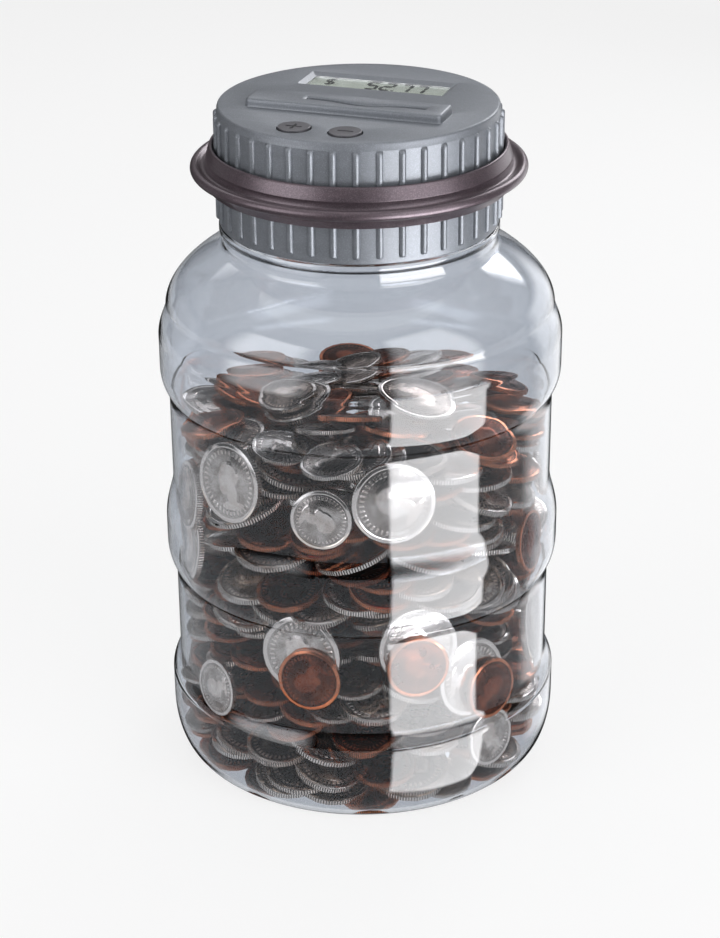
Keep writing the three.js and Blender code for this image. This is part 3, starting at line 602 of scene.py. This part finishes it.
def drop_coins(rng, standing):
    """Lays coins one at a time on what lies below: each takes the slope of the heap under it, is
    raised until it only touches, and of several places tried the lowest is kept."""
    half = int(BORE_RADIUS / CELL) + 4
    line = np.arange(-half, half + 1) * CELL
    gx, gy = np.meshgrid(line, line, indexing="ij")
    far = np.hypot(gx, gy)
    floor = np.interp(far, [0, 30, 45, 51], [5.9, 4.6, 2.1, 1.4])
    heights = np.where(far < 60, floor, 0)
    shares = np.array([c[2] for c in COINS])
    rim_angle = np.arange(16) * TURN / 16
    placed = []
    misses = 0
    while misses < 60 and len(placed) < 2200:
        kind = int(rng.choice(len(COINS), p=shares / shares.sum()))
        diameter, thick, _ = COINS[kind]
        radius = diameter / 2
        best = None
        steep = rng.uniform(0.1, 0.42)
        for _ in range(8):
            angle = rng.uniform(0, TURN)
            base_reach = BORE_RADIUS - radius - 0.4
            reach = base_reach * math.sqrt(rng.random())
            if rng.random() < 0.55:
                reach = base_reach - rng.exponential(0.7)
            x, y = reach * math.cos(angle), reach * math.sin(angle)
            low = heights[int(round(x / CELL)) + half, int(round(y / CELL)) + half]
            rim = radius + 0.2
            px, py = x + rim * np.cos(rim_angle), y + rim * np.sin(rim_angle)
            over = np.max(np.hypot(px, py) - room_at(px, py, low + 2, standing))
            beside = inner_radius(low + (2.0 if low < 40 else -2.5))
            spare = min(beside, inner_radius(low + 4.0)) - BORE_RADIUS
            if over > 0 or (over < -0.5 and spare > 0.4 and reach > base_reach - 1):
                shift = -over if over > 0 else min(-over, spare) * 0.9
                x, y = x + shift * math.cos(angle), y + shift * math.sin(angle)
            ix, iy = int(round(x / CELL)) + half, int(round(y / CELL)) + half
            n = int(radius / CELL) + 1
            sx, sy = slice(ix - n, ix + n + 1), slice(iy - n, iy + n + 1)
            dx, dy = gx[sx, sy] - x, gy[sx, sy] - y
            disc = dx ** 2 + dy ** 2 <= (radius + 0.3) ** 2
            h = heights[sx, sy][disc]
            dx, dy = dx[disc], dy[disc]
            a = np.sum(h * dx) / np.sum(dx * dx)
            b = np.sum(h * dy) / np.sum(dy * dy)
            slope = math.hypot(a, b)
            if slope > steep:
                a, b = a * steep / slope, b * steep / slope
            base = np.max(h - a * dx - b * dy)
            if base < pile_top(x, y) - 3 and (best is None or base < best[0]):
                best = (base, x, y, a, b, sx, sy, disc)
        if best is None:
            misses += 1
            continue
        misses = 0
        base, x, y, a, b, sx, sy, disc = best
        dx, dy = gx[sx, sy] - x, gy[sx, sy] - y
        lean = math.sqrt(1 + a * a + b * b)
        top = base + a * dx + b * dy + thick * lean + 0.05
        patch = heights[sx, sy]
        patch[disc] = np.maximum(patch[disc], top[disc])
        axis = np.array([-a, -b, 1.0]) / lean
        middle = np.array([x, y, base]) + axis * thick / 2
        placed.append((kind, middle, axis))
    return placed


def axes_for(axis, spin):
    """Two directions across a coin whose face points along axis."""
    helper = np.array([0.0, 0.0, 1.0]) if abs(axis[2]) < 0.9 else np.array([0.0, 1.0, 0.0])
    side = np.cross(helper, axis)
    side /= np.linalg.norm(side)
    other = np.cross(axis, side)
    return (side * math.cos(spin) + other * math.sin(spin),
            other * math.cos(spin) - side * math.sin(spin))


def coin_template():
    """A disc with small bevels at both rims; its UV is its own face, with the rim at radius 1."""
    rows = [(0.965, 0.5), (1.0, 0.4), (1.0, -0.4), (0.965, -0.5)]
    angle = np.arange(COIN_SIDES) * TURN / COIN_SIDES
    rings = [np.stack([r * np.cos(angle), r * np.sin(angle), np.full(COIN_SIDES, z)], -1) for r, z in rows]
    points = np.vstack(rings)
    bands = grid_faces(len(rows), COIN_SIDES)[:, ::-1]
    top = tuple(range(COIN_SIDES))
    bottom = tuple(range(len(points) - 1, len(points) - 1 - COIN_SIDES, -1))
    return points, bands, top, bottom


def coin_mesh(coins, rng):
    """Every coin of one metal as one mesh: the template scaled, turned and set in its place."""
    points, bands, top, bottom = coin_template()
    all_points, all_faces, all_uv, all_tone = [], [], [], []
    start = 0
    for kind, middle, axis, *own_tone in coins:
        diameter, thick, _ = COINS[kind]
        spin = rng.uniform(0, TURN)
        side, other = axes_for(axis, spin)
        local = points * np.array([diameter / 2, diameter / 2, thick])
        all_points.append(middle + local @ np.stack([side, other, axis]))
        all_uv.append(points[:, :2])
        tone = own_tone[0] if own_tone else rng.beta(1.3, 1.6)
        all_tone.append(np.full(len(points), tone))
        all_faces += (bands + start).tolist()
        all_faces += [[i + start for i in top], [i + start for i in bottom]]
        start += len(points)
    return (np.vstack(all_points), all_faces), np.vstack(all_uv), np.concatenate(all_tone)


def make_coins():
    rng = np.random.default_rng(11)
    standing = [(place[0], *leaning_coin(*place), STANDING_TONE[place[0]]) for place in LEANING]
    coins = drop_coins(rng, standing) + standing
    copper = [coin for coin in coins if coin[0] == 0]
    silver = [coin for coin in coins if coin[0] != 0]
    for name, group, metal in (("copper_coins", copper, COPPER), ("silver_coins", silver, CUPRONICKEL)):
        shell, uv, tone = coin_mesh(group, rng)
        replaced = ["coin_pile"] if name == "silver_coins" else ()
        make(name, shell, metal, "jar", replaced, uv=uv, tone=tone, sharp=30)


make_coins()

# ---- Lid shell ---------------------------------------------------------------------------------

RIB_COUNT = 40
RIB_BOTTOM, RIB_TOP = 172.3, 203.2
RIB_OFFSETS = np.array([-2.4, -1.15, -1.0, -0.88, -0.65, -0.33, 0, 0.33, 0.65, 0.88, 1.0, 1.15, 2.4])
SLOT_X, SLOT_Y, SLOT_WIDTH = (-12.4, 23.2), -9.0, 2.6
BLOCK_MIDDLE, BLOCK_HALF = (0.0, -9.0), (29.2, 6.0)
RECESS_MIDDLE, RECESS_HALF, RECESS_SLOPE, RECESS_DEPTH = (-0.75, 19.05), (22.45, 6.95), 1.5, 1.0
BUTTON_PLACES = {"button_plus": (-8.5, -30), "button_minus": (6.5, -30)}
BUTTON_HOLE, BUTTON_RADIUS, BUTTON_PROUD = 4.9, 4.6, 0.45
SCREW_PLACES = [(29.9, 10.9), (-29.9, 10.9), (0, 31.8), (18.2, -26), (-18.2, -26)]


def rib_angles():
    """Columns round the skirt, close together over each rib."""
    pitch = TURN / RIB_COUNT
    return (np.arange(RIB_COUNT)[:, None] * pitch + RIB_OFFSETS / SKIRT_RADIUS).ravel()


def rib_height(angle, height):
    """A round-topped, round-ended bead over each rib position: sqrt(1 - u^2 - v^2) of its radius."""
    pitch = TURN / RIB_COUNT
    across = (np.mod(angle + pitch / 2, pitch) - pitch / 2) * SKIRT_RADIUS
    past = np.maximum(np.maximum(RIB_BOTTOM + 1 - height, height - RIB_TOP + 1), 0)
    return np.sqrt(np.maximum(0, 1 - across ** 2 - past ** 2))


def skirt():
    """The lid's side from the deck's edge down, round the bottom rim and up the bore."""
    rib_ends = np.array([0, 0.12, 0.35, 0.65, 1.0, 1.4])
    heights = np.concatenate([RIB_TOP - rib_ends, np.linspace(198, 178, 6), (RIB_BOTTOM + rib_ends)[::-1]])
    profile = arc((SKIRT_RADIUS - 1.05, DECK_TOP - 0.8), 0.8, 90, 0, 7)
    profile += [(SKIRT_RADIUS - 0.1, RIB_TOP + 0.3)]
    profile += [(SKIRT_RADIUS, z) for z in heights]
    profile += [(SKIRT_RADIUS, 171.8)]
    profile += arc((SKIRT_RADIUS - 0.4, SKIRT_BOTTOM + 0.4), 0.4, 0, -90, 4)
    first_inside = len(profile)
    profile += [(LID_BORE + 0.4, SKIRT_BOTTOM), (LID_BORE, SKIRT_BOTTOM + 0.4)]
    profile += [(LID_BORE, z) for z in np.linspace(172, 180.5, 24)]
    profile += [(LID_BORE, DECK_UNDER)]
    profile = np.array(profile)
    angle = rib_angles()[None, :]
    radius, height = profile[:, :1], profile[:, 1:]
    outer = np.arange(len(profile)) < first_inside
    rib = rib_height(angle, height) * (outer & (profile[:, 1] < RIB_TOP + 0.1))[:, None]
    everywhere = np.broadcast_to(angle, rib.shape), np.broadcast_to(height, rib.shape)
    start_height = 174.6 + THREAD_LEAD * LID_THREAD_START / 360
    thread = thread_height(*everywhere, start_height, LID_THREAD_START, 60, THREAD_DEPTH)
    radius = radius + rib - thread * (~outer & (profile[:, 1] > 171.9))[:, None]
    points = np.stack([radius * np.cos(angle), radius * np.sin(angle), everywhere[1]], -1)
    return points.reshape(-1, 3), grid_faces(len(profile), angle.shape[1]), points[0], points[-1]


def block_top(x, y):
    """Top of the coin block: level, with a shallow thumb scoop across the middle of the slot."""
    scoop = 1.25 * np.exp(-((x - 4.4) / 7.5) ** 2) * np.exp(-((y - SLOT_Y) / 2.5) ** 2)
    return DECK_TOP + BLOCK_HEIGHT - scoop


def deck():
    """The deck's top with the raised block, slot, recess and holes, and its underside."""
    skirt_points, skirt_faces, top_loop, under_loop = skirt()
    slot_middle = ((SLOT_X[0] + SLOT_X[1]) / 2, SLOT_Y)
    slot_half = ((SLOT_X[1] - SLOT_X[0]) / 2, SLOT_WIDTH / 2)

    def slot_loop(grow, end_grow):
        """The slot's outline in short steps, larger by grow; its left end by end_grow instead."""
        outline = round_box(slot_middle, (slot_half[0] + grow, slot_half[1] + grow), 0.5, 3)
        points = []
        for here, after in zip(outline, np.roll(outline, -1, 0)):
            steps = 36 if abs(here[0] - after[0]) > 5 else 1
            points += [here + (after - here) * t for t in np.arange(steps) / steps]
        points = np.array(points)
        points[points[:, 0] < SLOT_X[0] + 0.2, 0] -= end_grow - grow
        return points

    def block_loop(grow):
        return round_box(BLOCK_MIDDLE, (BLOCK_HALF[0] + grow, BLOCK_HALF[1] + grow), 1.7 + grow, 6)

    def recess_loop(grow):
        return round_box(RECESS_MIDDLE, (RECESS_HALF[0] + grow, RECESS_HALF[1] + grow), 0.5, 4)

    block_side = [(0.35, 0), (0.12, 0.07), (0.02, 0.3), (0, 0.8), (0, 1.5), (-0.1, 1.98), (-0.4, 2.34)]
    block_wall = [at_height(block_loop(g), DECK_TOP + z) for g, z in [*block_side, (-0.85, BLOCK_HEIGHT)]]
    rim = block_wall[-1][:, :2]
    gx, gy = np.meshgrid(np.arange(-15, 24, 0.8), np.arange(-13.8, -4.0, 0.55), indexing="ij")
    extra = np.column_stack([gx.ravel(), gy.ravel()])
    extra = extra[~inside(round_box(slot_middle, (slot_half[0] + 1.5, slot_half[1] + 0.9), 0.5), extra)]
    block_wall[-1][:, 2] = block_top(rim[:, 0], rim[:, 1])
    recess = [(0.12, 0), (0.03, -0.03), (-0.06, -0.1), (-RECESS_SLOPE, -RECESS_DEPTH),
              (-RECESS_SLOPE, DECK_UNDER - DECK_TOP)]
    recess_wall = [at_height(recess_loop(g), DECK_TOP + z) for g, z in recess]
    slot_walls = []
    for grow, end_grow, drop in ((0.5, 1.1, 0), (0.3, 0.75, 0.1), (0.08, 0.2, 0.34), (0, 0, 0.6)):
        ring = slot_loop(grow, end_grow)
        slot_walls.append(at_height(ring, block_top(ring[:, 0], ring[:, 1]) - drop))
    slot_walls.append(at_height(slot_loop(0, 0), DECK_UNDER))
    slot, slot_rim = slot_walls[-1][:, :2], slot_walls[0][:, :2]
    holes, hole_walls = [], []
    for middle in BUTTON_PLACES.values():
        rings = [(0.3, 0), (0.08, -0.08), (0, -0.3), (0, DECK_UNDER - DECK_TOP)]
        loops = [at_height(circle(middle, BUTTON_HOLE + g, 64), DECK_TOP + z) for g, z in rings]
        holes.append((loops[0][:, :2], loops[-1][:, :2]))
        hole_walls.append(loft(loops))
    top_holes = [block_wall[0][:, :2], recess_wall[0][:, :2], *[hole[0] for hole in holes]]
    top = sheet_with_holes(top_loop[:, :2], top_holes, DECK_TOP)
    under_holes = [slot, recess_wall[-1][:, :2], *[hole[1] for hole in holes]]
    under = sheet_with_holes(under_loop[:, :2], under_holes, DECK_UNDER)
    block_face = sheet_with_holes(rim, [slot_rim], block_top, extra)
    boss_profile = [(1.45, 190), (1.45, 198.6), (0, 198.6), (0, DECK_UNDER + 1)]
    boss_profile += [(3, DECK_UNDER + 1), (3, 190.2), (2.7, 189.8), (1.6, 189.8)]
    bosses = [moved(turned(boss_profile, 32, close=True), x, y) for x, y in SCREW_PLACES]
    return merged((skirt_points, skirt_faces), top, under, block_face, loft(block_wall), loft(recess_wall),
                  loft(slot_walls), *hole_walls, *bosses)


make("lid_shell", deck(), SILVER, "lid", ["lid_cap"], sharp=40)


def ring_profile():
    """Collar, channel and rounded lip of the bumper ring, up the outside and down the bore."""
    low, high, reach, bore = RING_LOW[2], RING_HIGH[2], RING_HIGH[0], 42.2
    points = [(bore, low + 0.3), (bore + 0.3, low), (43.1, low), (43.4, low + 0.25)]
    points += [(44.0, 182.3), (45.3, 184.6), (45.9, 185.1), (46.35, 185.2), (46.4, 185.45), (46.2, 185.75)]
    points += arc((reach - 1.5, 187.15), 1.5, -72, 100, 18, 1.0)
    points += [(46.5, 188.25), (46.05, 187.85), (45.5, 187.6), (44.9, 187.6), (44.45, 187.85)]
    points += [(44.2, 188.35)]
    points += [(44.12, 189.5), (44.2, 189.75), (44.3, 189.95), (44.22, 190.2)]
    points += [(43.3, high - 0.55), (43.15, high - 0.2), (42.9, high)]
    points += [(bore + 0.3, high), (bore, high - 0.3)]
    return points


band = turned(ring_profile(), 240, close=True)
make("bumper_band", band, BRONZE, "lid", ["bumper_ring"], sharp=50)

# ---- Buttons -----------------------------------------------------------------------------------


def bar_outline(half_long, half_wide, cross):
    """Outline of a minus, or of a plus, anticlockwise."""
    a, b = half_long, half_wide
    if not cross:
        return np.array([(a, -b), (a, b), (-a, b), (-a, -b)], float)
    quarter = [(a, -b), (a, b), (b, b)]
    points = []
    for turn in range(4):
        c, s = round(math.cos(turn * math.pi / 2)), round(math.sin(turn * math.pi / 2))
        points += [(c * x - s * y, s * x + c * y) for x, y in quarter]
    return np.array(points, float)


def button(name, cross):
    """A round cap with a soft rim, its sign sunk into the top, and the foot that holds it in."""
    x, y = BUTTON_PLACES[name]
    top = DECK_TOP + BUTTON_PROUD
    radius = BUTTON_RADIUS
    side = [(0, 200.9), (5.2, 200.9), (5.5, 201.1), (5.5, 201.7), (5.2, 201.9)]
    side += [(radius, 201.9), (radius, top - 0.2)]
    side += arc((radius - 0.25, top - 0.25), 0.25, 10, 90, 5)
    shell = turned(side, 64)
    sign = bar_outline(2.3, 0.42, cross)
    rim = circle((0, 0), radius - 0.25, 64)
    face = sheet_with_holes(rim, [sign], top)
    walls = loft([at_height(sign, top), at_height(sign * 0.96, top - 0.35)])
    floor = sheet_with_holes(sign * 0.96, [], top - 0.35)
    cap = moved(merged(shell, face, walls, floor), x, y)
    make(name + "_cap", cap, BUTTON_GREY, name, [name], sharp=40)
    # a near-black sheet on the floor of the sunk sign: painted shade in the groove
    groove_shade_sides = loft([at_height(sign * 0.95, top - 0.34), at_height(sign * 0.95, top - 0.2)])
    lids = [sheet_with_holes(sign * 0.95, [], z) for z in (top - 0.34, top - 0.2)]
    make(name + "_sign", moved(merged(groove_shade_sides, *lids), x, y), SIGN_GROOVE_SHADE, name, smooth=False)


button("button_plus", True)
button("button_minus", False)

# ---- Display -----------------------------------------------------------------------------------

DIGITS = {"5": "afgcd", "2": "abged", "7": "abc"}
BARS = {
    "a": ((0, 1), 0), "g": ((0, 0), 0), "d": ((0, -1), 0),
    "f": ((-0.5, 0.5), 1), "b": ((0.5, 0.5), 1), "e": ((-0.5, -0.5), 1), "c": ((0.5, -0.5), 1),
}


def prism(outline, bottom, top):
    """A flat plate of this outline."""
    sides = loft([at_height(outline, bottom), at_height(outline, top)])
    return merged(sides, sheet_with_holes(outline, [], bottom), sheet_with_holes(outline, [], top))


def segment(middle, upright, length, width):
    """One bar with pointed ends."""
    a, b = length / 2, width / 2
    points = np.array([(a, 0), (a - b, b), (b - a, b), (-a, 0), (b - a, -b), (a - b, -b)], float)
    if upright:
        points = points[:, ::-1] * np.array([-1, 1])
    return points + np.array(middle)


def character(bars, middle, wide, tall, width, slant):
    """The lit bars of one figure, leaning forward by slant."""
    shells = []
    for bar_name in bars:
        (x, y), upright = BARS[bar_name]
        length = (tall / 2 if upright else wide) - 0.1
        thick = width if upright else width * 1.35
        outline = segment((x * wide, y * tall / 2), upright, length, thick)
        outline[:, 0] += outline[:, 1] * slant
        shells.append(outline + np.array(middle))
    return shells


def display():
    """Window, glass panel and the lit figures: a money sign and an amount."""
    x, y = RECESS_MIDDLE
    flange = (22.0, 6.6)
    pad = (RECESS_HALF[0] - RECESS_SLOPE - 0.05, RECESS_HALF[1] - RECESS_SLOPE - 0.05)
    face = (pad[0] - 0.05, pad[1] - 0.05)
    low, shelf, high = WINDOW_LOW[2], WINDOW_LOW[2] + 0.3, WINDOW_HIGH[2]
    steps = [(flange, low), (flange, shelf), (pad, shelf), (pad, high - 0.05), (face, high)]
    pane = [at_height(round_box((x, y), half, 0.5), z) for half, z in steps]
    ends = [sheet_with_holes(loop[:, :2], [], loop[0][2]) for loop in (pane[0], pane[-1])]
    solid = merged(loft(pane), *ends)
    make("display_pane", solid, ACRYLIC, "lid", ["display_window"], smooth=False)
    low, high = PANEL_LOW[2], WINDOW_LOW[2] - 0.08
    panel = prism(round_box((x, y), (22.3, 7.2), 0.3), low, high)
    make("display_glass", panel, display_face(), "lid", ["display_panel"], smooth=False)
    slant, shells, tall = 0.05, [], 7.0
    row = y + 1.5
    for index, digit in enumerate("5277"):
        place = x - 1.9 + index * 4.6 + (0.6 if index > 1 else 0)
        shells += character(DIGITS[digit], (place, row), 3.1, tall, 1.05, slant)
    shells.append(segment((x + 5.05, row - tall / 2), False, 1.1, 1.0))
    sign_place = (x - 15.2, row + 0.1)
    shells += character("afgcd", sign_place, 2.3, 4.8, 0.85, slant)
    shells.append(segment(sign_place, True, 6.4, 0.6))
    plates = [prism(outline, high - 0.02, high + 0.05) for outline in shells]
    make("display_figures", merged(*plates), SEGMENT_INK, "lid", smooth=False)


display()

# ---- Pieces that keep their CAD shape ----------------------------------------------------------

FINISHES = {
    "mouth_seal": ACETAL, "display_frame": BLACK_ABS, "display_contact_strip": SILICONE,
    "main_board": GREEN_BOARD, "chip_dome": BLACK_EPOXY, "button_board": GREEN_BOARD,
    "rubber_keypad": SILICONE, "chute_front": BLACK_ABS, "chute_back": BLACK_ABS,
    "coin_lever": ACETAL, "lever_pivot_pin": NICKEL_STEEL, "lever_spring": NICKEL_STEEL,
    "leaf_contacts": SPRING_BRONZE, "inner_cover": BLACK_ABS, "battery_door": BLACK_ABS,
    "battery_1": CELL_FILM, "battery_2": CELL_FILM,
    "contact_plate_1": NICKEL_STEEL, "contact_plate_2": NICKEL_STEEL,
    "contact_spring_1": NICKEL_STEEL, "contact_spring_2": NICKEL_STEEL,
    **{f"cover_screw_{number}": NICKEL_STEEL for number in range(1, 6)},
}
for node_name, material in FINISHES.items():
    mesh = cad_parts[node_name].data
    mesh.materials.clear()
    mesh.materials.append(material)

# ---- Floor, light and camera -------------------------------------------------------------------

AZIMUTH = math.radians(19.2)


def towards(angle, distance, height):
    """A point round the jar; angle 0 is the camera's side and 90 its right-hand side."""
    turn = AZIMUTH + math.radians(angle)
    return Vector((distance * math.sin(turn), -distance * math.cos(turn), height))


def floor():
    material, tree, shader, place = new_material("pale_matt_floor", Roughness=0.9)
    tone = noise(tree, place, 300, 1.0)
    colour = mixed_colour(tree, tone, linear("#6e6e6e"), linear("#717171"))
    tree.links.new(colour, shader.inputs["Base Color"])
    shader.inputs["Specular IOR Level"].default_value = 0.0
    shader.inputs["Emission Color"].default_value = (1, 1, 1, 1)
    shader.inputs["Emission Strength"].default_value = 0.797
    points, faces = turned([(0, -0.02), (600, -0.02), (6000, -0.02)], 64)
    mesh = bpy.data.meshes.new("floor")
    mesh.from_pydata((points * MM).tolist(), [], faces.tolist())
    mesh.materials.append(material)
    plane = bpy.data.objects.new("floor", mesh)
    bpy.context.scene.collection.objects.link(plane)
    plane.visible_glossy = False


def panel(name, angle, distance, bottom, top, width, brightness, soft=0.25):
    """An upright soft panel facing the jar, brightest in its middle and dim towards its edges."""
    material = bpy.data.materials.new(name)
    material.use_nodes = True
    tree = material.node_tree
    tree.nodes.remove(tree.nodes["Principled BSDF"])
    place = add(tree, "ShaderNodeTexCoord").outputs["Object"]
    parts = add(tree, "ShaderNodeSeparateXYZ", {0: place}).outputs
    level = brightness
    for part, half, share in ((parts[0], width / 2, soft), (parts[2], (top - bottom) / 2, 0.3)):
        away = math_node(tree, "ABSOLUTE", part)
        fade = add(tree, "ShaderNodeMapRange", {0: away, 1: half, 2: half * (1 - share), 3: 0.0, 4: 1.0},
                   interpolation_type="SMOOTHSTEP")
        level = math_node(tree, "MULTIPLY", fade.outputs[0], level)
    glow = add(tree, "ShaderNodeEmission", {"Strength": level, "Color": linear("#fdfdff")})
    tree.links.new(glow.outputs[0], tree.nodes["Material Output"].inputs["Surface"])
    mesh = bpy.data.meshes.new(name)
    half, tall = width / 2, (top - bottom) / 2
    corners = [(-half, 0, -tall), (half, 0, -tall), (half, 0, tall), (-half, 0, tall)]
    mesh.from_pydata(corners, [], [(0, 1, 2, 3)])
    mesh.materials.append(material)
    sheet = bpy.data.objects.new(name, mesh)
    sheet.location = towards(angle, distance, (top + bottom) / 2)
    sheet.rotation_euler = (0, 0, AZIMUTH + math.radians(angle))
    sheet.visible_camera = False
    bpy.context.scene.collection.objects.link(sheet)


def lights():
    panel("key_window_low", 44, 0.75, -0.85, 0.15, 0.84, 9.5, 0.12)
    panel("key_window_high", 44, 0.78, 0.0, 1.5, 0.9, 2.7, 0.4)
    panel("right_rim", 134, 0.8, -0.6, 0.4, 0.8, 1.5, 0.6)
    panel("left_rim", -119, 0.8, -0.5, 0.4, 0.6, 0.25, 0.6)
    panel("left_front", -55, 0.9, 0.03, 1.0, 1.0, 3.0, 0.6)
    panel("back_card", 152, 0.9, 0.45, 0.85, 0.5, 7.0, 0.3)
    panel("back_middle", 185, 1.0, 0.72, 1.1, 1.7, 1.5, 0.4)
    panel("back_high", 185, 1.0, 1.05, 1.9, 1.7, 1.5, 0.4)
    overhead = bpy.data.lights.new("overhead", "AREA")
    overhead.shape = "DISK"
    overhead.size = 1.4
    overhead.energy = 0.65 * math.pi * math.pi * 0.49
    lamp = bpy.data.objects.new("overhead", overhead)
    lamp.location = towards(200, 0.25, 1.3)
    bpy.context.scene.collection.objects.link(lamp)
    world = bpy.data.worlds.new("studio")
    world.use_nodes = True
    tree = world.node_tree
    direction = add(tree, "ShaderNodeTexCoord").outputs["Generated"]
    rise = add(tree, "ShaderNodeSeparateXYZ", {0: direction}).outputs[2]
    surround = ramp(tree, rise, 0.05, 0.9, 0.03, 0.36)
    seen = add(tree, "ShaderNodeLightPath").outputs["Is Camera Ray"]
    level = add(tree, "ShaderNodeMix", {0: seen, 2: surround, 3: 0.913}, data_type="FLOAT").outputs[0]
    tree.links.new(level, tree.nodes["Background"].inputs["Strength"])
    tree.nodes["Background"].inputs["Color"].default_value = (1, 1, 1, 1)
    bpy.context.scene.world = world


def camera():
    """A long lens looking 25 degrees down at the jar's axis."""
    lens = bpy.data.cameras.new("camera")
    lens.lens = 88.7
    eye = bpy.data.objects.new("camera", lens)
    turn = Matrix.Rotation(AZIMUTH + math.radians(0.037), 4, "Z")
    tilt = Matrix.Rotation(math.radians(90 - 25.21), 4, "X")
    roll = Matrix.Rotation(math.radians(-0.44), 4, "Z")
    eye.matrix_world = Matrix.Translation(towards(0, 0.6412, 0.3913)) @ turn @ tilt @ roll
    bpy.context.scene.collection.objects.link(eye)
    bpy.context.scene.camera = eye


floor()
lights()
camera()
bpy.context.scene.view_settings.view_transform = "Standard"
